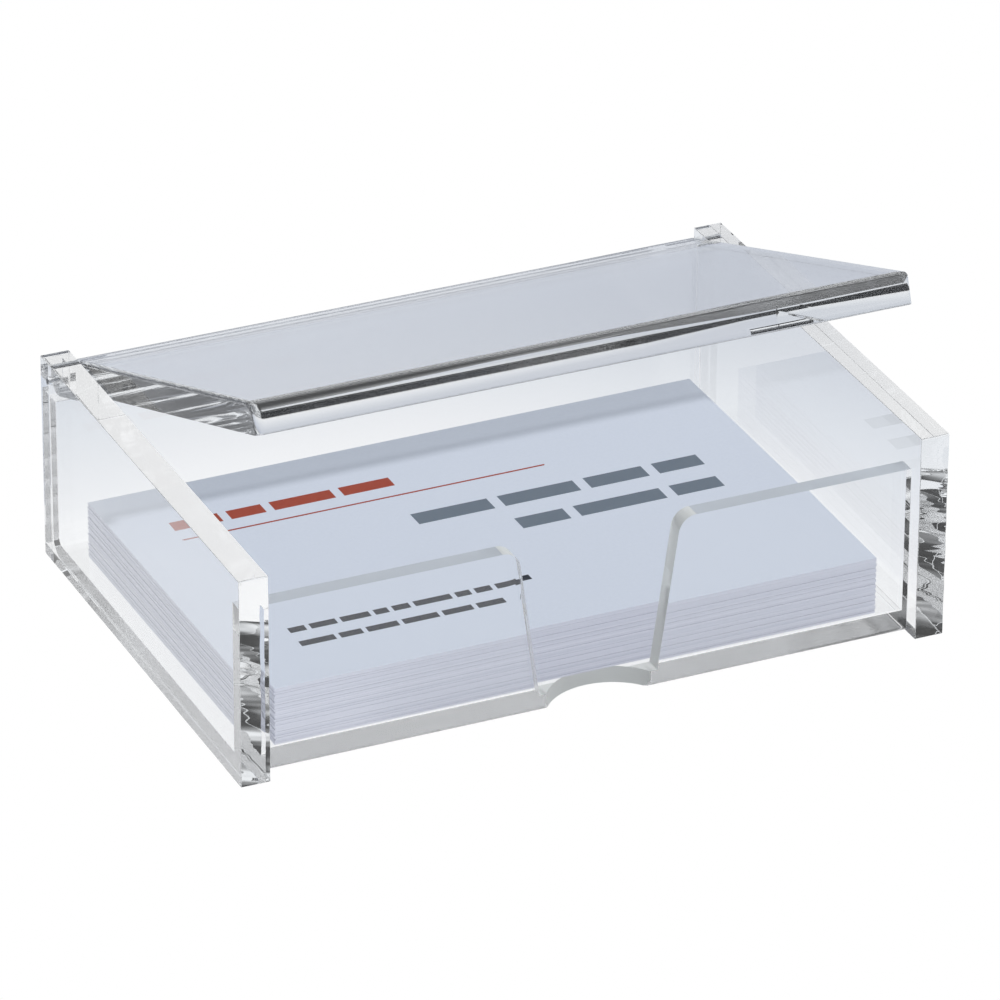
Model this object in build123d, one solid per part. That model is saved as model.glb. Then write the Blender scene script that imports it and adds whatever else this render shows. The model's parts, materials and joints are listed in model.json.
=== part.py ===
from build123d import *
import math
import os

# A desk box for business cards in clear acrylic: a tray bent from one sheet stands between two side panels,
# and a lid swings on two steel pins that are blind in the panels. A stack of cards lies in the tray.
# Lengths are in millimetres, angles in degrees. +Z is up and the front of the box looks towards -Y.
# The origin is on the table, in the middle of the box.

# The cards, and the room that the box leaves round them
card_width = 85.0
card_depth = 55.0
card_thickness = 0.3
card_count = 27
card_side_room = 3.0
card_front_gap = 0.75
card_back_gap = 4.85

# How the stack lies: off the middle, a little turned, no two cards quite alike
stack_offset = -0.6
stack_turn_angle = 0.28
card_slip = 0.08
card_twist_angle = 0.04
card_phase_angle = 137.5

# Acrylic
panel_thickness = 4.0
sheet_thickness = 2.4
cement_film = 0.03
edge_break = 0.25

# Tray
front_setback = 2.6
front_wall_height = 24.0
front_corner_outer_radius = 0.8
front_corner_inner_radius = 0.3
rear_bend_inner_radius = 1.0

# Thumb cut-out: flared sides in the front wall, running out in a round scallop in the base
cutout_offset = 1.2
cutout_bottom_width = 16.0
cutout_top_width = 22.8
cutout_corner_radius = 2.5
scallop_depth = 4.0
scallop_side_step = 0.6

# Lid, drawn shut and then swung open
lid_thickness = 4.25
lid_seat_gap = 0.3
lid_side_gap = 0.2
lid_front_inset = 0.1
lid_rear_overhang = 1.5
lid_corner_radius = 1.0
lid_rear_radius = 1.4
lid_swing_gap = 0.87
lid_open_angle = 20.3
panel_rise = 0.95

# Hinge pins
pin_diameter = 1.2
pin_from_rear = 1.8
pin_in_panel = 3.1
pin_in_lid = 4.3
pin_end_gap = 0.3
pin_running_clearance = 0.05
pin_tight_clearance = 0.01
pin_chamfer = 0.2

cut_overrun = 1.0

# The box is sized round the cards
inside_width = card_width + 2 * card_side_room
inside_depth = card_depth + card_front_gap + card_back_gap
box_width = inside_width + 2 * panel_thickness
box_depth = front_setback + 2 * sheet_thickness + inside_depth
front = -box_depth / 2
rear = box_depth / 2
wall_front = front + front_setback
wall_back = wall_front + sheet_thickness

# The hinge line lies in the middle of the shut lid
lid_bottom = front_wall_height + lid_seat_gap
hinge_height = lid_bottom + lid_thickness / 2
hinge_place = rear - pin_from_rear
panel_height = lid_bottom + lid_thickness + panel_rise
lid_width = inside_width - 2 * lid_side_gap
lid_rear_reach = math.hypot(lid_rear_overhang - lid_rear_radius, lid_thickness / 2 - lid_rear_radius) + lid_rear_radius
back_wall_height = hinge_height - lid_rear_reach - lid_swing_gap


def bore(inner_x, depth, clearance, side):
    """A blind pin bore from a mouth at inner_x, running outwards (side * depth) along X on the hinge line."""
    middle = Location((inner_x + side * depth / 2, hinge_place, hinge_height))
    return middle * Rotation(0, 90, 0) * Cylinder(pin_diameter / 2 + clearance, abs(depth))


def side_panel(side):
    """A rectangular panel with polished edges; side is -1 on the left and +1 on the right."""
    inner_x = side * inside_width / 2
    centre = (inner_x + side * panel_thickness / 2, 0, panel_height / 2)
    plate = Location(centre) * Box(panel_thickness, box_depth, panel_height)
    plate = chamfer(plate.edges().filter_by(Axis.X, reverse=True), edge_break)
    return plate - bore(inner_x, pin_in_panel, pin_tight_clearance, side)


def bent_tray():
    """The section of the bent sheet, drawn from the side and drawn out between the panels, with its cut-out."""
    outline = Polyline(
        (wall_front, 0),
        (wall_front, front_wall_height),
        (wall_back, front_wall_height),
        (wall_back, sheet_thickness),
        (rear - sheet_thickness, sheet_thickness),
        (rear - sheet_thickness, back_wall_height),
        (rear, back_wall_height),
        (rear, 0),
        close=True,
    )
    section = make_face(outline)
    corners = {
        (wall_front, 0): front_corner_outer_radius,
        (wall_back, sheet_thickness): front_corner_inner_radius,
        (rear - sheet_thickness, sheet_thickness): rear_bend_inner_radius,
        (rear, 0): rear_bend_inner_radius + sheet_thickness,
    }
    for place, radius in corners.items():
        section = fillet(section.vertices().sort_by_distance((*place, 0))[0], radius)
    sheet = extrude(Plane.YZ * section, inside_width / 2 - cement_film, both=True)
    return round_cutout_corners(sheet - wall_cutout() - base_scallop())


def wall_cutout():
    """The opening in the front wall above the base, wider at the top, seen from the front."""
    flare = (cutout_top_width - cutout_bottom_width) / 2 / front_wall_height
    low = sheet_thickness
    high = front_wall_height + cut_overrun
    low_half = cutout_bottom_width / 2 + flare * low
    high_half = cutout_bottom_width / 2 + flare * high
    opening = make_face(Polyline(
        (cutout_offset - low_half, low),
        (cutout_offset + low_half, low),
        (cutout_offset + high_half, high),
        (cutout_offset - high_half, high),
        close=True,
    ))
    through = Plane((0, wall_front - cut_overrun, 0), x_dir=(1, 0, 0), z_dir=(0, -1, 0)) * opening
    return extrude(through, -(2 * cut_overrun + sheet_thickness))


def base_scallop():
    """A round bite out of the front of the base, as deep as scallop_depth behind the wall's front face."""
    half_chord = cutout_bottom_width / 2 - scallop_side_step
    radius = (half_chord ** 2 + scallop_depth ** 2) / (2 * scallop_depth)
    centre = (cutout_offset, wall_front + scallop_depth - radius, sheet_thickness / 2)
    return Location(centre) * Cylinder(radius, sheet_thickness + 2 * cut_overrun)


def round_cutout_corners(sheet):
    """Rounds the two upper corners of the thumb cut-out."""
    rims = sheet.edges().filter_by(Axis.Y)
    for side in (-1, 1):
        corner = (cutout_offset + side * cutout_top_width / 2, wall_front + sheet_thickness / 2, front_wall_height)
        sheet = fillet(rims.sort_by_distance(corner)[0], cutout_corner_radius)
        rims = sheet.edges().filter_by(Axis.Y)
    return sheet


def hinged_lid():
    """The lid plate with its rear edge rounded to swing, drawn shut with its pin bores, then swung up."""
    lid_front = front + lid_front_inset
    lid_rear = hinge_place + lid_rear_overhang
    centre = (0, (lid_front + lid_rear) / 2, hinge_height)
    plate = Location(centre) * Box(lid_width, lid_rear - lid_front, lid_thickness)
    plate = fillet(plate.edges().filter_by(Axis.Z).sort_by(Axis.Y)[:2], lid_corner_radius)
    plate = fillet(plate.edges().filter_by(Axis.X).sort_by(Axis.Y)[-2:], lid_rear_radius)
    plate = chamfer(plate.edges().filter_by(lambda edge: edge.bounding_box().size.Z < edge_break), edge_break)
    for side in (-1, 1):
        plate -= bore(side * lid_width / 2, pin_in_lid + pin_end_gap, pin_running_clearance, -side)
    hinge_line = Axis((0, hinge_place, hinge_height), (-1, 0, 0))
    return plate.rotate(hinge_line, lid_open_angle)


def hinge_pin(side):
    """A plain steel pin with broken ends, from the bottom of the panel's bore into the lid."""
    length = pin_in_panel + lid_side_gap + pin_in_lid
    outer_x = side * (inside_width / 2 + pin_in_panel)
    middle = Location((outer_x - side * length / 2, hinge_place, hinge_height))
    pin = Cylinder(pin_diameter / 2, length)
    pin = chamfer(pin.edges().filter_by(GeomType.CIRCLE), pin_chamfer)
    return middle * Rotation(0, 90, 0) * pin


def card(index):
    """One card of the stack, slipped and turned a little by its own phase; the top one lies true."""
    phase = math.radians(card_phase_angle) * (card_count - 1 - index)
    slip_x = stack_offset + card_slip * math.sin(phase)
    slip_y = card_slip * (1 - math.cos(phase)) / 2
    turn = stack_turn_angle + card_twist_angle * math.sin(2 * phase)
    centre_y = wall_back + card_front_gap + card_depth / 2 + slip_y
    centre_z = sheet_thickness + card_thickness * (index + 1 / 2)
    return Location((slip_x, centre_y, centre_z), (0, 0, turn)) * Box(card_width, card_depth, card_thickness)


pieces = {
    "left_side_panel": side_panel(-1),
    "right_side_panel": side_panel(1),
    "tray": bent_tray(),
    "lid": hinged_lid(),
    "left_hinge_pin": hinge_pin(-1),
    "right_hinge_pin": hinge_pin(1),
}
for number in range(card_count - 1):
    pieces[f"card_{number + 1:02d}"] = card(number)
pieces["top_card"] = card(card_count - 1)

os.makedirs("parts", exist_ok=True)
for name, solid in pieces.items():
    export_step(solid, f"parts/{name}.step")
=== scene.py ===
# %% [markdown]
# # A clear acrylic box for business cards
# Two thick side panels hold a tray that is bent from one sheet, and a lid turns on two steel pins. A stack of cards
# lies inside. Clear plastic has almost no colour of its own: what the eye reads is light that bends through its edges.
# So this lesson is about exact solids, about joints that light passes through, and about what there is to reflect.

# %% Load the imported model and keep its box
import json
import math

import bmesh
import bpy
import numpy as np
from mathutils import Matrix, Vector
from mathutils.geometry import delaunay_2d_cdt


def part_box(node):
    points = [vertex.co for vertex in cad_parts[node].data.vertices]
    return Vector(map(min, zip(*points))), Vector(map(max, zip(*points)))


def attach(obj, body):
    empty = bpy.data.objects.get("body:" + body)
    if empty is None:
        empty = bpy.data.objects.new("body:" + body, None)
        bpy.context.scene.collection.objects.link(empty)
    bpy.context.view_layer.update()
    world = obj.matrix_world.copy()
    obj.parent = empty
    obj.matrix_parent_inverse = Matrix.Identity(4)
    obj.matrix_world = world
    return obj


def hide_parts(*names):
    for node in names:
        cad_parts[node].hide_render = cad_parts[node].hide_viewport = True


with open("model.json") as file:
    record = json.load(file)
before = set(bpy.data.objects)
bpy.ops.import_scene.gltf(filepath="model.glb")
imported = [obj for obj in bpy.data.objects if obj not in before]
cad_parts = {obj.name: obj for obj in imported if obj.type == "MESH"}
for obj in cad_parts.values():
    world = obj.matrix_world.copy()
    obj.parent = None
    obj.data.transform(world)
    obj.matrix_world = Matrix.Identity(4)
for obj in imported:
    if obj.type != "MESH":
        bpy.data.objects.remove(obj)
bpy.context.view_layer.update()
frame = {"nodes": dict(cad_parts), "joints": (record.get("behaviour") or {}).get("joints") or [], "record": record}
MM = 0.001
scene = bpy.context.scene

# %% [markdown]
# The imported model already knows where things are. The panels give the box, and the hinge joint gives the line that the
# lid turns about and how far it stands open. Lengths are in millimetres from here until a mesh is made.

# %% Sizes read from the frame
def node_box(name):
    """Lowest and highest corner of a node, in millimetres."""
    low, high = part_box(name)
    return np.array(low) / MM, np.array(high) / MM


panel_boxes = {-1: node_box("left_side_panel"), 1: node_box("right_side_panel")}
front_y, rear_y = panel_boxes[-1][0][1], panel_boxes[-1][1][1]
tray_low, tray_high = node_box("tray")
hinge = next(joint for joint in frame["joints"] if joint["name"] == "lid_hinge")
hinge_y, hinge_z = np.array(hinge["pos_m"][1:]) / MM
lid_open = math.radians(-hinge["range_deg"][0])
print("box", panel_boxes[1][1] - panel_boxes[-1][0], "mm, lid open by", round(math.degrees(lid_open), 1), "degrees")

# %% [markdown]
# ## Meshes from arrays
# A piece is a row of rings: a closed outline carried along the width of the box, which may change on the way. All rings
# are one array, so the faces between them come from index arithmetic and no vertex is visited by itself. A flat end
# that has holes or fields in it is filled by a constrained triangulation, which keeps each inner outline as edges.

# %% Outlines and faces
def arc(centre, radius, start, end, count):
    """Points on a circle from one angle to another, in degrees; a pair of radii gives an ellipse."""
    turn = np.radians(np.linspace(start, end, count))
    return np.asarray(centre) + np.asarray(radius) * np.column_stack([np.cos(turn), np.sin(turn)])


def circle(centre, radius, count=40):
    """A closed circle: an arc over the full turn without its last point."""
    return arc(centre, radius, 0, 360, count + 1)[:-1]


def at_x(x, points):
    """Points of a (y, z) outline put on the plane at x."""
    return np.column_stack([np.full(len(points), x), points])


def skin(rings):
    """Quads between neighbouring rings: ring i and point j join point j + 1 and ring i + 1, and each ring closes."""
    count, size = rings.shape[:2]
    i, j = np.meshgrid(np.arange(count - 1), np.arange(size), indexing="ij")
    after = (j + 1) % size
    quads = np.stack([i * size + j, i * size + after, (i + 1) * size + after, (i + 1) * size + j], axis=-1)
    return rings.reshape(-1, 3), quads.reshape(-1, 4)


def whole(points):
    """A flat outline as a single face."""
    return points, [list(range(len(points)))]


def flat_face(outline, *inner):
    """Triangles that fill a flat outline and keep each inner outline as edges."""
    loops = (outline, *inner)
    starts = np.cumsum([0] + [len(loop) for loop in loops])
    edges = [np.stack([np.arange(len(loop)), np.roll(np.arange(len(loop)), -1)], axis=1) + start
             for loop, start in zip(loops, starts)]
    points, _, faces, *_ = delaunay_2d_cdt(
        np.concatenate(loops).tolist(), np.concatenate(edges).tolist(), [list(range(len(outline)))], 1, 1e-5)
    return np.array([tuple(point) for point in points]), np.array(faces)


def inside(points, loop):
    """Even-odd rule: a point is inside if a ray along the first axis crosses the loop an odd number of times."""
    a, b = loop, np.roll(loop, -1, axis=0)
    level = points[:, 1, None]
    spans = (a[:, 1] > level) != (b[:, 1] > level)
    rise = np.where(b[:, 1] == a[:, 1], 1.0, b[:, 1] - a[:, 1])
    crossing = a[:, 0] + (level - a[:, 1]) / rise * (b[:, 0] - a[:, 0])
    return (spans & (points[:, 0, None] < crossing)).sum(axis=1) % 2 == 1


# %% [markdown]
# Through clear plastic every wrong normal shows, so normals get a cell of their own. Where a broad face meets a narrow
# rounded edge, a plain average would bend the broad face too. Weighting by area lets the broad face win.

# %% From patches to a piece
def shade(mesh, blend_angle=30):
    """Corner normals: the mean of the faces round a point, weighted by area squared. A face that turns away from that
    mean by more than the blend angle keeps its own normal, so hard edges stay hard."""
    faces, corners, points = len(mesh.polygons), len(mesh.loops), len(mesh.vertices)
    normal, area = np.empty(faces * 3), np.empty(faces)
    total, point = np.empty(faces, dtype=np.int32), np.empty(corners, dtype=np.int32)
    mesh.polygons.foreach_get("normal", normal)
    mesh.polygons.foreach_get("area", area)
    mesh.polygons.foreach_get("loop_total", total)
    mesh.loops.foreach_get("vertex_index", point)
    own = np.repeat(normal.reshape(-1, 3), total, axis=0)
    weight = np.repeat(area / area.max(), total) ** 2
    mean = np.stack([np.bincount(point, own[:, k] * weight, points) for k in range(3)], axis=1)[point]
    mean /= np.maximum(np.linalg.norm(mean, axis=1, keepdims=True), 1e-30)
    near = (mean * own).sum(axis=1, keepdims=True) > math.cos(math.radians(blend_angle))
    mesh.polygons.foreach_set("use_smooth", np.ones(faces, dtype=bool))
    mesh.normals_split_custom_set(np.where(near, mean, own).tolist())


def make_piece(name, patches, materials, node):
    """One closed mesh from patches of (points in mm, faces, material number), welded, faces outwards; it takes the
    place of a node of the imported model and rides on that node's body."""
    weld = 2e-7
    starts = np.cumsum([0] + [len(points) for points, _, _ in patches])
    points = np.concatenate([points for points, _, _ in patches]) * MM
    faces = [face for (_, faces, _), start in zip(patches, starts) for face in (np.asarray(faces) + start).tolist()]
    numbers = np.concatenate([np.broadcast_to(number, len(faces)) for _, faces, number in patches])
    mesh = bpy.data.meshes.new(name)
    mesh.from_pydata(points.tolist(), [], faces)
    mesh.polygons.foreach_set("material_index", numbers.astype(np.int32))
    work = bmesh.new()
    work.from_mesh(mesh)
    bmesh.ops.remove_doubles(work, verts=work.verts, dist=weld)
    bmesh.ops.dissolve_degenerate(work, edges=work.edges, dist=weld)
    bmesh.ops.recalc_face_normals(work, faces=work.faces)
    open_edges = sum(not edge.is_manifold for edge in work.edges)
    work.to_mesh(mesh)
    work.free()
    shade(mesh)
    for material in materials:
        mesh.materials.append(material)
    piece = bpy.data.objects.new(name, mesh)
    scene.collection.objects.link(piece)
    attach(piece, next(body for body, nodes in frame["record"]["behaviour"]["bodies"].items() if node in nodes))
    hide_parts(node)
    print(name, len(mesh.vertices), "points,", len(mesh.polygons), "faces,", open_edges, "open edges")
    return piece


# %% [markdown]
# ## Materials
# A material is a small tree of nodes. One helper adds a node, sets its properties and fills its sockets, with a value
# or with a link. Colours are written as they look on a screen and turned to the linear values that light adds up in.

# %% Colours and nodes
def linear(code):
    """sRGB hex to linear RGBA: the screen curve taken back, channel by channel."""
    value = np.array([int(code[i:i + 2], 16) for i in (0, 2, 4)]) / 255
    straight = np.where(value <= 0.04045, value / 12.92, ((value + 0.055) / 1.055) ** 2.4)
    return (*straight.tolist(), 1.0)


def add(tree, kind, sockets=None, stops=(), **settings):
    """Adds a node; settings are its properties, sockets gives each input a value or another node's output, and stops
    are the (place, colour) pairs of a colour ramp."""
    made = tree.nodes.new(kind)
    for name, value in settings.items():
        setattr(made, name, value)
    for key, value in (sockets or {}).items():
        if isinstance(value, bpy.types.NodeSocket):
            tree.links.new(value, made.inputs[key])
        else:
            made.inputs[key].default_value = value
    for _ in stops[2:]:
        made.color_ramp.elements.new(0.5)
    for number, (place, colour) in enumerate(stops):
        made.color_ramp.elements[number].position = place
        made.color_ramp.elements[number].color = colour
    return made


def empty_tree(owner):
    """Switches a material or the world to nodes and takes the ones that it starts with away."""
    owner.use_nodes = True
    owner.node_tree.nodes.clear()
    return owner.node_tree


def new_material(name, **values):
    """A material with one Principled shader; socket names are given with underscores."""
    material = bpy.data.materials.new(name)
    tree = empty_tree(material)
    shader = add(tree, "ShaderNodeBsdfPrincipled", {key.replace("_", " "): value for key, value in values.items()})
    add(tree, "ShaderNodeOutputMaterial", {"Surface": shader.outputs[0]})
    return material, tree, shader


# %% [markdown]
# Acrylic bends light by 1.49. A solvent joint melts two faces into each other, so light goes straight through it: the
# joint is a clear surface with an index of 1. Edges that were routed, sawn or scraped keep fine tool marks. They are
# too fine to draw, so a rougher surface stands for them, and for the scuffs on the underside.

# %% Acrylic
ACRYLIC = {"Transmission_Weight": 1.0, "IOR": 1.49}
COLOURLESS = linear("FBFCFD")
# Cast and polished: hard gloss, with a trace of cool grey through its thickness.
acrylic, _, _ = new_material("cast_acrylic_polished", Base_Color=COLOURLESS, Roughness=0.0, **ACRYLIC)
# Two faces that have flowed together: nothing is reflected, so the sheets look like one.
joint, _, _ = new_material(
    "acrylic_solvent_joint", Base_Color=linear("FFFFFF"), Roughness=0.0, Transmission_Weight=1.0, IOR=1.0)
# Routed and only lightly buffed: the edge goes soft and a little green.
routed, _, _ = new_material("acrylic_edge_routed", Base_Color=linear("CDD3D2"), Roughness=0.45, **ACRYLIC)
# Slides over tables: fine scuffs let some of the table's light in.
scuffed, _, _ = new_material("acrylic_underside_scuffed", Base_Color=COLOURLESS, Roughness=0.2, **ACRYLIC)
# Sawn from the sheet and not polished: the edge stays greyer and a little bluer than the faces.
sawn, _, _ = new_material("acrylic_edge_sawn", Base_Color=linear("99A4B2"), Roughness=0.35, **ACRYLIC)
# Scraped by hand and only lightly polished: dark and bright lines blur to a grey streak.
scraped, _, _ = new_material("acrylic_edge_scraped", Base_Color=COLOURLESS, Roughness=0.25, **ACRYLIC)
print("acrylic:", [finish.name for finish in (acrylic, joint, routed, scuffed, sawn, scraped)])

# %% [markdown]
# ## The tray
# One sheet, bent up at the front and the back. Its section is carried across the box. At the thumb cut-out the section
# is cut down to what is left of the wall and cut back to the scallop in the base. Boolean cuts would do that too, but
# both cuts are a formula in x, so the whole tray can be one grid with clean faces.

# %% The tray's section
sheet = 2.4
front_outer, front_inner, rear_inner = 0.8, 0.3, 1.0
air_film = 0.02
base_top = sheet - air_film
wall_front, wall_top = tray_low[1], tray_high[2]
wall_back = wall_front + sheet
lid_thickness, lid_overhang, lid_rear_round, lid_swing_gap = 4.25, 1.5, 1.4, 0.87
lid_half = lid_thickness / 2
lid_rear_reach = math.hypot(lid_overhang - lid_rear_round, lid_half - lid_rear_round) + lid_rear_round
back_top = hinge_z - lid_rear_reach - lid_swing_gap


def tray_section():
    """The bent sheet seen from its end: down the front, along the bottom, up the back, and home along the inside."""
    rear_outer = rear_inner + sheet
    back_in = rear_y - sheet
    return np.concatenate([
        [(wall_front, wall_top)],
        arc((wall_front + front_outer, front_outer), front_outer, 180, 270, 7),
        arc((rear_y - rear_outer, rear_outer), rear_outer, 270, 360, 25),
        [(rear_y, back_top), (back_in, back_top)],
        arc((back_in - rear_inner, base_top + rear_inner), rear_inner, 0, -90, 17),
        arc((wall_back + front_inner, base_top + front_inner), front_inner, 270, 180, 7),
        [(wall_back, wall_top)],
    ])


section = tray_section()
print("tray: front wall", round(wall_top, 2), "mm high, back wall", round(back_top, 2), "mm")

# %% The thumb cut-out
cut_middle, cut_bottom, cut_top, cut_round = 1.2, 8.0, 11.4, 2.5
scallop_depth, scallop_half = 4.0, 7.4
cut_flare = (cut_top - cut_bottom) / wall_top
cut_lean = math.atan(cut_flare)
corner_run = cut_round / math.tan((math.pi / 2 + cut_lean) / 2)
corner_start = cut_top - math.sin(cut_lean) * corner_run
cut_foot = cut_bottom + cut_flare * base_top
cut_end = cut_top + corner_run


def wall_height(x):
    """What is left of the front wall at x: the base, the flared side, the rounded corner, then the full height."""
    u = np.abs(x - cut_middle)
    side = (u - cut_bottom) / cut_flare
    rounded = wall_top - cut_round + np.sqrt(np.clip(cut_round ** 2 - (u - cut_end) ** 2, 0, None))
    return np.select([u < cut_foot, u < corner_start, u < cut_end], [base_top, side, rounded], wall_top)


def base_front(x):
    """Where the base begins at x: a circle through the ends of the scallop and its deepest point."""
    radius = (scallop_half ** 2 + scallop_depth ** 2) / (2 * scallop_depth)
    u = np.clip(np.abs(x - cut_middle), 0, scallop_half)
    return wall_front + scallop_depth - radius + np.sqrt(radius ** 2 - u ** 2)


print("cut-out:", round(2 * cut_end, 1), "mm wide at its top, scallop", scallop_depth, "mm deep")

# %% The tray as one grid
half = np.concatenate([np.linspace(0, scallop_half, 33), np.linspace(cut_foot, cut_end, 60)])
columns = np.unique(np.round(np.concatenate([[tray_low[0], tray_high[0]], cut_middle - half, cut_middle + half]), 6))
in_front = section[:, 0] < 0
rings = np.stack([
    np.broadcast_to(columns[:, None], (len(columns), len(section))),
    np.maximum(section[:, 0], base_front(columns)[:, None]),
    np.where(in_front, np.minimum(section[:, 1], wall_height(columns)[:, None]), section[:, 1]),
], axis=-1)
tray_points, tray_faces = skin(rings)

# %% Which finish each face of the tray has
POLISHED, JOINED, ROUTED, SCUFFED, SAWN = range(5)
nearly = 1e-3
x, y, z = np.moveaxis(tray_points[tray_faces], -1, 0)
off_middle = np.abs(x - cut_middle)
in_cut = off_middle < cut_end + nearly
on_top = (z > wall_height(x) - nearly) & (y < wall_back + nearly)
on_scallop = (off_middle < scallop_half + nearly) & (y < base_front(x) + nearly)
is_cut = ((on_top & in_cut) | on_scallop).all(axis=1)
is_top = on_top.all(axis=1)
is_under = (z < nearly).all(axis=1)
end_points, end_faces = flat_face(section)
tray = make_piece("tray_clear", [
    (tray_points, tray_faces, np.select([is_cut, is_top, is_under], [ROUTED, SAWN, SCUFFED], POLISHED)),
    (at_x(columns[0], end_points), end_faces, JOINED),
    (at_x(columns[-1], end_points), end_faces, JOINED),
], [acrylic, joint, routed, scuffed, sawn], "tray")

# %% [markdown]
# ## The side panels
# A panel is a rectangle carried through its thickness, with its edges broken. Its front edge was milled and buffed by
# hand, which leaves waves of a few hundredths of a millimetre. Light that enters there is mirrored at the lower edge
# and leaves at the rear, and the waves pull the dark of the studio into streaks. The waves are in the mesh, where an
# export keeps them. On the inside, the field that the tray is cemented to is a joint.

# %% Panel outlines
arris, panel_corner = 0.08, 0.2
pin_bore, pin_bore_depth = 0.61, 3.1
points_along, points_up, wave_fade = 120, 260, 2


def lower_edge(x, y, phase):
    """Height of the lower edge over the table: a slight crown across x, and shallow waves 17 mm long along y."""
    return 0.01 * (x / 2) ** 2 + 0.015 * (1 + np.sin(2 * np.pi * (y / 17 + phase)))


def front_edge(x, z, phase):
    """How far the front edge is cut back at a height: uneven waves about 5 mm long and ripples, all aslant in x."""
    turns = z / 5.2 + 0.12 * np.sin(2 * np.pi * z / 7.7) + 0.09 * x + phase
    ripples = np.sin(2 * np.pi * (z / 0.95 + 0.3 * np.sin(z) + 0.35 * x))
    return 0.055 + 0.05 * np.sin(2 * np.pi * turns) + 0.003 * ripples


def panel_outline(low, high, inset, x, phase):
    """A rectangle in (y, z) with rounded corners, drawn in by the inset. Its lower and front sides have many points to
    carry waves, which fade out away from these sides."""
    y0, z0, y1, z1, r = low[1] + inset, low[2] + inset, high[1] - inset, high[2] - inset, panel_corner - inset
    along, up = np.linspace(y0 + r, y1 - r, points_along)[1:-1], np.linspace(z1 - r, z0 + r, points_up)[1:-1]
    loop = np.concatenate([
        arc((y0 + r, z0 + r), r, 180, 270, 5), np.column_stack([along, np.full(len(along), z0)]),
        arc((y1 - r, z0 + r), r, 270, 360, 5), arc((y1 - r, z1 - r), r, 0, 90, 5), arc((y0 + r, z1 - r), r, 90, 180, 5),
        np.column_stack([np.full(len(up), y0), up])])
    y, z = loop.T
    back = np.clip(1 - (y - low[1]) / wave_fade, 0, 1) * front_edge(x, z, phase)
    lift = np.clip(1 - (z - low[2]) / wave_fade, 0, 1) * lower_edge(x, y, phase)
    return loop + np.column_stack([back, lift])


# %% Panels
def side_panel(name, side, node):
    """Rings from the outer to the inner face, then the two faces and the blind bore for the pin."""
    low, high = panel_boxes[side]
    outer, inner = (low[0], high[0]) if side < 0 else (high[0], low[0])
    thick, inwards = abs(inner - outer), np.sign(inner - outer)
    turn = np.radians([0, 30, 60, 90])
    straight = np.linspace(arris, thick - arris, 17)[1:-1]
    depth = np.concatenate([arris * (1 - np.cos(turn)), straight, thick - arris * (1 - np.cos(turn[::-1]))])
    inset = np.concatenate([arris * (1 - np.sin(turn)), 0 * straight, arris * (1 - np.sin(turn[::-1]))])
    loops = [panel_outline(low, high, i, inwards * (d - thick / 2), 0.3 * side) for d, i in zip(depth, inset)]
    places = outer + inwards * depth
    bore = circle((hinge_y, hinge_z), pin_bore)
    bottom = inner - inwards * pin_bore_depth
    margin = 0.35
    seat_y, seat_z = np.minimum(section[:, 0], high[1] - margin), np.maximum(section[:, 1], low[2] + margin)
    seat = np.column_stack([seat_y, seat_z])
    points, faces = flat_face(loops[-1], bore, seat)
    faces = faces[~inside(points[faces].mean(axis=1), bore)]
    in_seat = inside(points[faces].mean(axis=1), seat)
    return make_piece(name, [
        (*skin(np.stack([at_x(x, loop) for x, loop in zip(places, loops)])), POLISHED),
        (*whole(at_x(outer, loops[0])), POLISHED),
        (at_x(inner, points), faces, np.where(in_seat, JOINED, POLISHED)),
        (*skin(np.stack([at_x(inner, bore), at_x(bottom, bore)])), POLISHED),
        (*whole(at_x(bottom, bore)), POLISHED),
    ], [acrylic, joint], node)


left_panel = side_panel("left_panel_clear", -1, "left_side_panel")
right_panel = side_panel("right_panel_clear", 1, "right_side_panel")

# %% [markdown]
# ## The lid
# The lid is drawn along and across the hinge line, as a plate with a rounded rear edge that can swing past the back
# wall. Its front edge was scraped by hand: the bevel widens towards the ends, is matt where the scraper bit deepest,
# and runs out at the right. So the outline changes along the width. It is then turned by the angle that the lid stands
# open, and the formula never meets tilted corners.

# %% The lid's outline
lid_end = node_box("lid")[1][0]
lid_reach = hinge_y - front_y - 0.1
lid_corners, lid_end_rounds = {-1: 1.1, 1: 0.35}, {-1: 0.6, 1: 0.2}
lid_bore, lid_bore_depth = 0.65, 4.6
lower_round, bevel_slope, rear_under = 0.25, 38, (3.0, 2.4)
under_points, lower_points, bevel_points, ease_points, rear_points = 61, 7, 7, 24, 41


def lid_outline(drop, pull, bevel, eased, behind):
    """The lid seen from its end, as (distance to the front, height over its middle). Near the ends its top drops and
    its tip is pulled back. The upper front edge is a bevel with an eased top; the rear edge is two quarter ellipses."""
    rear, tip, top, bottom = -lid_overhang, lid_reach - pull, lid_half - drop, -lid_half
    under = np.array(rear_under) - (0, drop)
    slope = math.radians(bevel_slope)
    ease = eased / (1 - math.cos(slope))
    foot = np.array((tip, top - eased - bevel))
    head = foot + bevel * np.array((-1 / math.tan(slope), 1))
    return np.concatenate([
        arc((rear, bottom) + under, under, 180, 270, under_points),
        arc((tip - lower_round, bottom + lower_round), lower_round, 270, 360, lower_points),
        np.linspace(foot, head, bevel_points + 1)[:-1],
        arc(head - ease * np.array((math.sin(slope), math.cos(slope))), ease, 90 - bevel_slope, 90, ease_points),
        arc((rear, top) + behind * (1, -1), behind, 90, 180, rear_points)])


def swing(outline):
    """Turns (distance to the front, height) about the hinge line by the open angle, to (y, z)."""
    c, s = math.cos(lid_open), math.sin(lid_open)
    along, up = outline.T
    return np.column_stack([hinge_y - along * c + up * s, hinge_z + along * s + up * c])


print("lid:", round(2 * lid_end, 2), "mm wide, reaches", round(lid_reach, 2), "mm to the front of its hinge")

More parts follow.
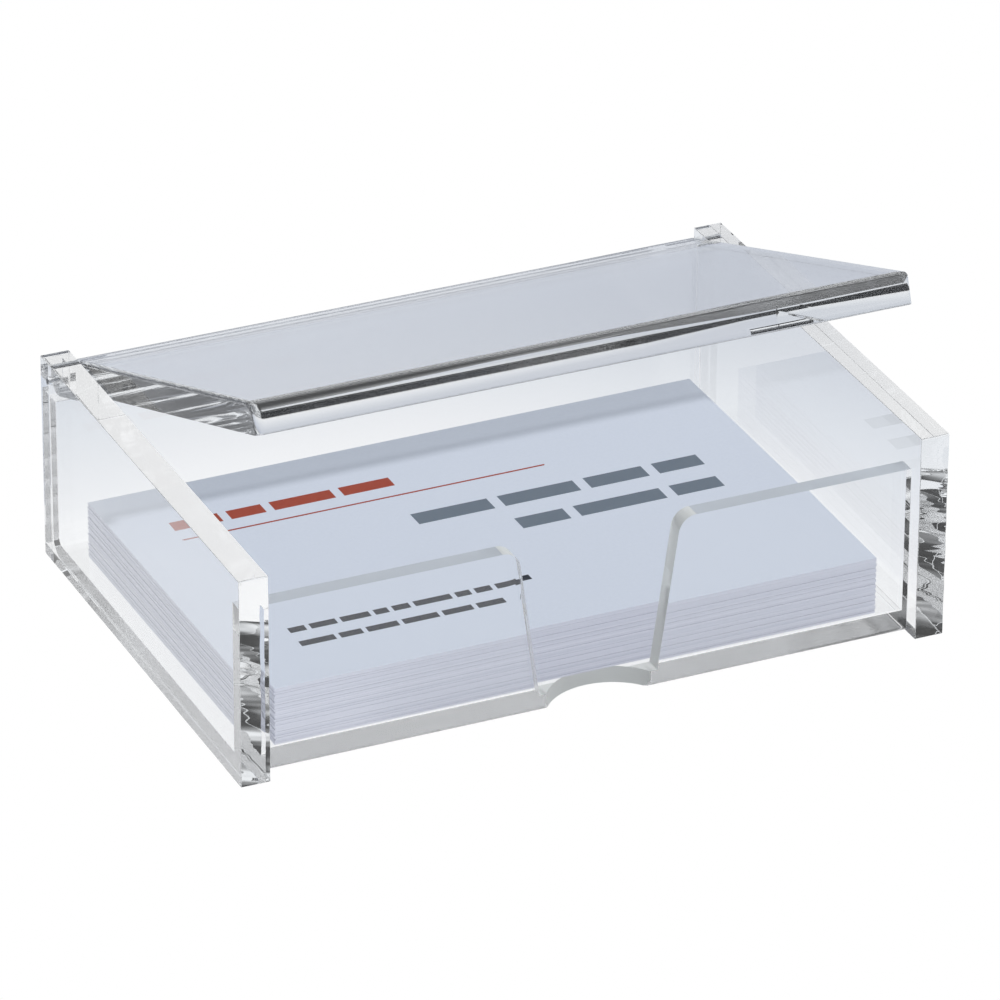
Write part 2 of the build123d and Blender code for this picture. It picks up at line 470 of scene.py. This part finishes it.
# %% The lid along its width
run_out = lid_end - 0.8
bevel_places, bevel_heights = [-45, -30, -12, 4, 24, run_out, lid_end], [0.7, 0.6, 0.34, 0.34, 0.9, 0.8, 0.15]
eased_middle, eased_end = 0.45, 0.15
sharper_places, sharper_shares, rear_over = [26, 40], [1, 0.5], np.array((1.4, 1.8))


def rounding(distance, radius):
    """How far a rounded edge has fallen away at a distance from the end: a quarter circle."""
    return radius - np.sqrt(radius ** 2 - (radius - np.minimum(distance, radius)) ** 2)


def near_end(side):
    """Places along the width where the rounded edges of one end need rings, from the end inwards."""
    turn = np.radians(np.linspace(0, 90, 17))
    radii = np.array([lid_end_rounds[side], lid_corners[side]])
    return side * (lid_end - np.unique(np.round((radii[:, None] * (1 - np.cos(turn))).ravel(), 3)))


def lid_ring(x):
    """The lid's outline at x, in its place: the bevel is wider towards both ends, and the rear edge is sharper at the
    right; both are interpolated along the width."""
    distance = lid_end - abs(x)
    bevel = np.interp(x, bevel_places, bevel_heights)
    eased = np.interp(x, [run_out, lid_end], [eased_middle, eased_end])
    behind = np.interp(x, sharper_places, sharper_shares) * rear_over
    side = 1 if x > 0 else -1
    drop, pull = rounding(distance, lid_end_rounds[side]), rounding(distance, lid_corners[side])
    return at_x(x, swing(lid_outline(drop, pull, bevel, eased, behind)))


ring_places = np.concatenate([near_end(-1), np.linspace(-43, 43, 87), [run_out], near_end(1)[::-1]])
lid_rings = np.stack([lid_ring(x) for x in ring_places])

# %% Lid
SCRAPED, scraped_from = 1, 4
points, faces = skin(lid_rings)
on_ring = faces[:, 0] % lid_rings.shape[1] - (under_points + lower_points)
is_scraped = (on_ring >= 0) & (on_ring < bevel_points) & (points[faces[:, 0], 0] > scraped_from)
patches = [(points, faces, np.where(is_scraped, SCRAPED, POLISHED))]
bore = circle((hinge_y, hinge_z), lid_bore)
for side, ring in ((-1, lid_rings[0]), (1, lid_rings[-1])):
    mouth, bottom = side * lid_end, side * (lid_end - lid_bore_depth)
    points, faces = flat_face(ring[:, 1:], bore)
    faces = faces[~inside(points[faces].mean(axis=1), bore)]
    patches += [
        (at_x(mouth, points), faces, POLISHED),
        (*skin(np.stack([at_x(mouth, bore), at_x(bottom, bore)])), POLISHED),
        (*whole(at_x(bottom, bore)), POLISHED),
    ]
lid = make_piece("lid_clear", patches, [acrylic, scraped], "lid")

# %% [markdown]
# Lamps shine through all four clear pieces, as they do on the real box, and soft light bounced between cards and table
# is not stopped by them either. Cycles would make a clear solid cast a dark shadow, so the pieces are hidden from it.

# %% Light goes through the acrylic
clear_pieces = (tray, left_panel, right_panel, lid)
for piece in clear_pieces:
    piece.visible_shadow = False
    piece.visible_diffuse = False
print("no shadow from:", [piece.name for piece in clear_pieces])

# %% [markdown]
# ## The hinge pins
# Short pieces of bright drawn rod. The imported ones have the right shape, so they only get a better surface.

# %% Pins
# Drawn and polished steel: a bright grey, with lines about 0.1 mm apart that blur the highlight along the rod.
steel, tree, shader = new_material("steel_rod_drawn_bright", Base_Color=linear("B9BABD"), Metallic=1.0)
coords = add(tree, "ShaderNodeTexCoord")
drawn = add(tree, "ShaderNodeMapping", {"Vector": coords.outputs["Object"], "Scale": (60, 9000, 9000)})
lines = add(tree, "ShaderNodeTexNoise", {"Vector": drawn.outputs[0], "Scale": 1.0, "Detail": 2.0})
gloss = add(tree, "ShaderNodeMapRange", {"Value": lines.outputs[0], "To Min": 0.14, "To Max": 0.32})
tree.links.new(gloss.outputs[0], shader.inputs["Roughness"])
print("pins:", steel.name)

# %% [markdown]
# ## The cards
# A guillotine cuts a whole stack at once, so the sides show fine lines: every card has its own tone, a dark line of
# painted shade lies in the gap between two cards, and the cut leaves faint streaks along them. All of it follows from
# the height in the stack.

# %% Sides of the cards
card_low, card_high = node_box("top_card")
card_thickness = card_high[2] - card_low[2]
stack_low = node_box("card_01")[0][2]


def card_edges(tree):
    """Colour of the stack's sides: noise per card, a dark line of painted shade in the gap between two cards, and
    streaks 0.14 mm high along the cut.
    """
    coords = add(tree, "ShaderNodeTexCoord")
    height = add(tree, "ShaderNodeSeparateXYZ", {0: coords.outputs["Object"]})
    lifted = add(tree, "ShaderNodeMath", {0: height.outputs["Z"], 1: stack_low * MM}, operation="SUBTRACT")
    count = add(tree, "ShaderNodeMath", {0: lifted.outputs[0], 1: card_thickness * MM}, operation="DIVIDE")
    whole_cards = add(tree, "ShaderNodeMath", {0: count.outputs[0]}, operation="FLOOR")
    own_shade = add(tree, "ShaderNodeTexWhiteNoise", {"W": whole_cards.outputs[0]}, noise_dimensions="1D")
    share = add(tree, "ShaderNodeMath", {0: count.outputs[0]}, operation="FRACT")
    # How dark the painted shade in each gap between two cards is: a random amount per card.
    line = add(tree, "ShaderNodeMapRange", {
        "Value": own_shade.outputs["Value"], "From Min": 0.6, "From Max": 1.0, "To Min": 0.98, "To Max": 0.86})
    painted_gap_shade = add(tree, "ShaderNodeMapRange", {
        "Value": share.outputs[0], "From Min": 0.0, "From Max": 0.22, "To Min": line.outputs[0], "To Max": 1.0})
    stretched = add(tree, "ShaderNodeMapping", {"Vector": coords.outputs["Object"], "Scale": (45, 45, 7000)})
    streak = add(tree, "ShaderNodeTexNoise", {"Vector": stretched.outputs[0], "Scale": 1.0, "Detail": 3.0})
    both = add(tree, "ShaderNodeMath", {0: own_shade.outputs["Value"], 1: streak.outputs[0]}, operation="ADD")
    tone = add(tree, "ShaderNodeMapRange", {
        "Value": both.outputs[0], "From Min": 0.3, "From Max": 1.5, "To Min": 0.0, "To Max": 1.0})
    # Both whites of the sides are darker than the card's top face: painted shade on the sides.
    colour = add(tree, "ShaderNodeMix", {
        "Factor": tone.outputs[0], 6: linear("DEDEE5"), 7: linear("E9E8EE")}, data_type="RGBA")
    grey = add(tree, "ShaderNodeCombineColor", {0: painted_gap_shade.outputs[0], 1: painted_gap_shade.outputs[0], 2: painted_gap_shade.outputs[0]})
    lined = add(tree, "ShaderNodeMix", {
        "Factor": 1.0, 6: colour.outputs[2], 7: grey.outputs[0]}, data_type="RGBA", blend_type="MULTIPLY")
    return lined.outputs[2]


# Uncoated white card, guillotined: matt sides with fine lines, in a darker white than the top face as painted shade.
card_side, tree, shader = new_material("white_card_guillotined", Roughness=0.75)
tree.links.new(card_edges(tree), shader.inputs["Base Color"])
print("cards:", round(card_thickness, 2), "mm thick")

# %% Faces of the cards
def card_face(name, code, roughness):
    """A smooth face of card in one colour, with the faint unevenness of paper fibre about half a millimetre across."""
    material, tree, shader = new_material(name, Roughness=roughness)
    coords = add(tree, "ShaderNodeTexCoord")
    fibre = add(tree, "ShaderNodeTexNoise", {"Vector": coords.outputs["Object"], "Scale": 2000.0, "Detail": 3.0})
    light, dark = linear(code), [0.94 * channel for channel in linear(code)[:3]] + [1.0]
    colour = add(tree, "ShaderNodeMix", {"Factor": fibre.outputs[0], 6: dark, 7: light}, data_type="RGBA")
    tree.links.new(colour.outputs[2], shader.inputs["Base Color"])
    return material


# White card, calendered: smooth, with a dull sheen.
card_white = card_face("white_card_calendered", "F1F5FB", 0.5)
# Offset ink on card: colour that has sunk in a little.
inks = [
    card_face("red_offset_ink", "B4492F", 0.45),
    card_face("grey_offset_ink", "77828C", 0.45),
    card_face("black_offset_ink", "1D232F", 0.4),
]
print("inks:", [ink.name for ink in inks])

# %% [markdown]
# The print is dummy text as on a layout draft: each word is a plain bar, in three weights, with no letter in it. A
# picture on the card would blur close up. Each bar is an outline in the triangulation of the card's face instead, so
# the ink has exact edges.

# %% Dummy print
def word_bars(left, right, low, height, seed):
    """Bars from left to right, as rectangles: widths come from a seeded random generator, gaps are half a height."""
    most, shortest, longest = 40, 1.4, 4.2
    random = np.random.default_rng(seed)
    widths = height * random.uniform(shortest, longest, most)
    ends = left + np.cumsum(widths + height / 2)
    starts, ends = ends - widths - height / 2, ends - height / 2
    low, high = np.full(most, low), np.full(most, low + height)
    corners = [(starts, low), (ends, low), (ends, high), (starts, high)]
    return np.stack([np.column_stack(corner) for corner in corners], axis=1)[ends < right]


def bar(left, right, low, height):
    """A plain rule, as one rectangle."""
    return np.array([[(left, low), (right, low), (right, low + height), (left, low + height)]])


WHITE, SIDE, RED, GREY, BLACK = range(5)
print_rows = [
    (RED, word_bars(-35.0, -6.0, 15.5, 2.4, 3)), (RED, bar(-35.0, 14.0, 12.6, 0.35)),
    (GREY, word_bars(-8.0, 36.0, 4.2, 3.0, 5)), (GREY, word_bars(4.0, 36.0, -2.4, 3.0, 8)),
    (BLACK, word_bars(-35.0, 2.0, -15.4, 1.3, 11)), (BLACK, word_bars(-35.0, -6.0, -19.0, 1.3, 14)),
]
strokes = np.concatenate([loops for _, loops in print_rows])
stroke_inks = np.concatenate([np.full(len(loops), ink) for ink, loops in print_rows])
print(len(strokes), "bars of dummy print")

# %% Where the top card lies
card_points = np.array([vertex.co for vertex in frame["nodes"]["top_card"].data.vertices]) / MM
card_middle = (card_low + card_high)[:2] / 2
flat_corners = card_points[card_points[:, 2] > card_high[2] - nearly][:, :2]
flat_corners = np.unique(np.round(flat_corners, 5), axis=0)
spread = flat_corners - card_middle
flat_corners = flat_corners[np.argsort(np.arctan2(spread[:, 1], spread[:, 0]))]
sides = np.diff(flat_corners[:3], axis=0)
card_edge = sides[0] if abs(sides[0, 0]) > abs(sides[0, 1]) else sides[1]
card_edge = card_edge * np.sign(card_edge[0]) / np.linalg.norm(card_edge)
card_turn = np.array([card_edge, (-card_edge[1], card_edge[0])])
print("top card turned by", round(math.degrees(math.asin(card_edge[1])), 2), "degrees")

# %% The top card
placed_strokes = strokes @ card_turn + card_middle
points, faces = flat_face(flat_corners, *placed_strokes)
middles = points[faces].mean(axis=1)
face_inks = np.full(len(faces), WHITE)
for loop, ink in zip(placed_strokes, stroke_inks):
    face_inks[inside(middles, loop)] = ink
card_rings = np.stack([
    np.column_stack([flat_corners, np.full(len(flat_corners), level)]) for level in (card_low[2], card_high[2])])
make_piece("top_card_printed", [
    (*skin(card_rings), SIDE), (*whole(card_rings[0]), WHITE),
    (np.column_stack([points, np.full(len(points), card_high[2])]), faces, face_inks),
], [card_white, card_side, *inks], "top_card")

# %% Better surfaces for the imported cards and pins
for name, node in frame["nodes"].items():
    surface = card_side if name.startswith("card_") else steel if name.endswith("hinge_pin") else None
    if surface:
        node.data.materials.clear()
        node.data.materials.append(surface)

# %% [markdown]
# ## The studio
# The table is white to the eye. What the acrylic shows is the rest of the room: a table with painted shade that greys
# with distance, dark walls and a bright ceiling. So the table and the world answer rays through or off a clear surface
# differently from rays that carry plain light.

# %% Painted shade after many turns inside the acrylic
def painted_shade_after_turns(tree, path, where):
    """Painted shade: the share of light left after many turns inside the acrylic.
    It falls from all to a twentieth between 6 and 9 turns, and only where a 0 or 1 says so."""
    turns = add(tree, "ShaderNodeMath", {0: path.outputs["Ray Depth"], 1: where}, operation="MULTIPLY")
    left = add(tree, "ShaderNodeMapRange", {
        "Value": turns.outputs[0], "From Min": 6, "From Max": 9, "To Min": 1.0, "To Max": 0.05})
    return left.outputs[0]


# %% Table
table_gap, table_size = 0.3, 6
pale_middle, pale_reach, lid_distance = (-0.02, -0.03, 0), 0.4, 0.03
painted_table_shade = [(0.07, "FFFFFF"), (0.085, "F4F5F7"), (0.1, "E8EBEF"), (0.12, "D6DAE1"), (0.19, "C8CDD8"),
                (0.28, "C0C5D0"), (0.4, "B8BDC8")]
bpy.ops.mesh.primitive_plane_add(size=table_size, location=(0, 0, -table_gap * MM))
table = bpy.context.object
table.name = "table"
# White laminate, matt: pure white to the eye. What the acrylic shows of it is paler near the box than far away, as
# painted shade.
surface = bpy.data.materials.new("white_table_matt")
tree = empty_tree(surface)
path = add(tree, "ShaderNodeLightPath")
coords = add(tree, "ShaderNodeTexCoord")
away = add(tree, "ShaderNodeVectorMath", {0: coords.outputs["Object"], 1: pale_middle}, operation="DISTANCE")
reach = add(tree, "ShaderNodeMath", {0: away.outputs["Value"], 1: pale_reach}, operation="DIVIDE")
painted_falloff = add(tree, "ShaderNodeValToRGB", {"Fac": reach.outputs[0]}, stops=[
    (distance / pale_reach, linear(code)) for distance, code in painted_table_shade])
seen = add(tree, "ShaderNodeMix", {
    "Factor": path.outputs["Is Camera Ray"], 6: painted_falloff.outputs["Color"], 7: linear("FFFFFF")}, data_type="RGBA")
from_lid = add(tree, "ShaderNodeMath", {0: path.outputs["Ray Length"], 1: lid_distance}, operation="GREATER_THAN")
glow = add(tree, "ShaderNodeEmission", {
    "Color": seen.outputs[2], "Strength": painted_shade_after_turns(tree, path, from_lid.outputs[0])})
matt = add(tree, "ShaderNodeBsdfDiffuse", {"Color": linear("F0F2F4")})
plain = add(tree, "ShaderNodeMixShader", {0: path.outputs["Is Diffuse Ray"], 1: glow.outputs[0], 2: matt.outputs[0]})
add(tree, "ShaderNodeOutputMaterial", {"Surface": plain.outputs[0]})
table.data.materials.append(surface)
print("table:", table_size, "m wide,", table_gap, "mm under the box")

# %% [markdown]
# The world is the room round the table, bright and dark by the angle above the horizon. The ceiling begins 30 degrees
# up at the rear and 55 degrees up in front, the walls below it are dark, and the right side is bright. These fields
# make the dark and white lines in the acrylic's edges. Plain light is softer: pale walls, lighter to the right, and a
# dim top.

# %% The room that the acrylic shows
world = bpy.data.worlds.new("studio")
scene.world = world
tree = empty_tree(world)
path = add(tree, "ShaderNodeLightPath")
coords = add(tree, "ShaderNodeTexCoord")
split = add(tree, "ShaderNodeSeparateXYZ", {0: coords.outputs["Generated"]})
rear_stops = [(0, 0.35), (4, 0.12), (8, 0.035), (25, 0.03), (28.5, 0.06), (30.5, 0.3), (33, 0.85), (36, 1.0)]
front_stops = [(0, 0.03), (6, 0.02), (53, 0.02), (58, 0.9)]
side_stops = [(0, 0.5), (10, 0.75), (40, 0.9)]


def by_height(stops):
    """The room's brightness over the angle above the horizon, as a ramp over its sine."""
    levels = [(math.sin(math.radians(degrees)), (level * 0.96, level * 0.98, level, 1)) for degrees, level in stops]
    return add(tree, "ShaderNodeValToRGB", {"Fac": split.outputs["Z"]}, stops=levels).outputs["Color"]


behind = add(tree, "ShaderNodeMapRange", {"Value": split.outputs["Y"], "From Min": -0.1, "From Max": 0.1})
ends = add(tree, "ShaderNodeMix", {
    "Factor": behind.outputs[0], 6: by_height(front_stops), 7: by_height(rear_stops)}, data_type="RGBA")
beside = add(tree, "ShaderNodeMapRange", {
    "Value": split.outputs["X"], "From Min": 0.43, "From Max": 0.5}, interpolation_type="SMOOTHSTEP")
room = add(tree, "ShaderNodeMix", {
    "Factor": beside.outputs[0], 6: ends.outputs[2], 7: by_height(side_stops)}, data_type="RGBA")
print("room:", len(rear_stops), "levels at the rear,", len(front_stops), "in front,", len(side_stops), "at the right")

# %% Plain light, and the world as a whole
left_wall, right_wall, overhead = (0.36, 0.39, 0.46, 1), (1.16, 1.20, 1.30, 1), (0.25, 0.28, 0.32, 1)
brighter_side = (0.8, -0.6, 0)
across = add(tree, "ShaderNodeVectorMath", {0: coords.outputs["Generated"], 1: brighter_side}, operation="DOT_PRODUCT")
sideways = add(tree, "ShaderNodeMapRange", {"Value": across.outputs["Value"], "From Min": -1.0, "From Max": 1.0})
walls = add(tree, "ShaderNodeMix", {"Factor": sideways.outputs[0], 6: left_wall, 7: right_wall}, data_type="RGBA")
soft = add(tree, "ShaderNodeMix", {"Factor": split.outputs["Z"], 6: walls.outputs[2], 7: overhead}, data_type="RGBA")
lit = add(tree, "ShaderNodeMix", {
    "Factor": path.outputs["Is Diffuse Ray"], 6: room.outputs[2], 7: soft.outputs[2]}, data_type="RGBA")
shown = add(tree, "ShaderNodeMix", {
    "Factor": path.outputs["Is Camera Ray"], 6: lit.outputs[2], 7: linear("FFFFFF")}, data_type="RGBA")
# The world is darkened by painted shade where it is seen after many turns inside the acrylic.
sky = add(tree, "ShaderNodeBackground", {
    "Color": shown.outputs[2], "Strength": painted_shade_after_turns(tree, path, path.outputs["Is Diffuse Ray"])})
add(tree, "ShaderNodeOutputWorld", {"Surface": sky.outputs[0]})
print("world:", len(tree.nodes), "nodes")

# %% [markdown]
# One small lamp hangs high behind the box. Light that enters an edge of the acrylic is bent away, so edges cast shadows
# though the faces do not: a flag in the lid's rear edge and one in the back wall stand for that, and only shadow rays
# meet them.

# %% Lamp
lamp_data = bpy.data.lights.new("soft_box", "AREA")
lamp_data.shape, lamp_data.size, lamp_data.energy = "DISK", 0.08, 3.4
lamp_data.color = linear("F4F7FF")[:3]
lamp = bpy.data.objects.new("soft_box", lamp_data)
scene.collection.objects.link(lamp)
lamp.location = Vector((0.0, 0.605, 0.795))
lamp.rotation_euler = lamp.location.to_track_quat("Z", "Y").to_euler()
lamp.visible_glossy = lamp.visible_transmission = lamp.visible_camera = False
print("lamp:", round(lamp.location.length, 2), "m from the box,", round(lamp_data.energy, 1), "W")

# %% Flags
def flag(name, low, high, passes):
    """A strip from end to end between two (y, z) points that lets a share of the lamp's light through."""
    mesh = bpy.data.meshes.new(name)
    line = np.array([low, high])
    corners = np.vstack([at_x(-lid_end, line), at_x(lid_end, line[::-1])]) * MM
    mesh.from_pydata(corners.tolist(), [], [(0, 1, 2, 3)])
    gauze = bpy.data.materials.new(name)
    tree = empty_tree(gauze)
    clear = add(tree, "ShaderNodeBsdfTransparent", {"Color": (passes, passes, passes, 1)})
    add(tree, "ShaderNodeOutputMaterial", {"Surface": clear.outputs[0]})
    mesh.materials.append(gauze)
    made = bpy.data.objects.new(name, mesh)
    scene.collection.objects.link(made)
    made.visible_camera = made.visible_glossy = made.visible_transmission = made.visible_diffuse = False
    print(name, "lets", passes, "of the light through")


flag_inset = 0.4
lid_back = swing(np.array([(flag_inset - lid_overhang, -lid_half), (flag_inset - lid_overhang, lid_half)]))
flag("lid_edge_flag", *lid_back, 0.1)
flag("back_wall_flag", (rear_y - sheet, 0.0), (rear_y - sheet, back_top), 0.35)

# %% [markdown]
# ## The camera
# A long lens from the left and above, nearly a metre away. Azimuth, elevation and roll were fitted to the corners of
# the box.

# %% Camera
camera_data = bpy.data.cameras.new("camera")
camera = bpy.data.objects.new("camera", camera_data)
scene.collection.objects.link(camera)
scene.camera = camera
camera_data.sensor_width, camera_data.lens = 36, 274.2
camera_data.clip_start, camera_data.clip_end = 0.05, 20
azimuth, elevation, roll = np.radians([-24.366, 28.019, 0.275])
distance, target = 996.3 * MM, Vector((0.985, -0.940, 14.155)) * MM
back = Vector((
    math.sin(azimuth) * math.cos(elevation), -math.cos(azimuth) * math.cos(elevation), math.sin(elevation)))
level = Vector((0, 0, 1)).cross(back).normalized()
turned = Matrix.Rotation(roll, 3, back)
axes = Matrix((turned @ level, turned @ back.cross(level), back)).transposed()
camera.matrix_world = Matrix.Translation(target + distance * back) @ axes.to_4x4()
print("camera:", round(distance, 3), "m away,", round(camera_data.lens), "mm lens")

# %% Settings that clear plastic needs
scene.view_settings.view_transform = "Standard"
scene.cycles.max_bounces = scene.cycles.transmission_bounces = scene.cycles.glossy_bounces = 64
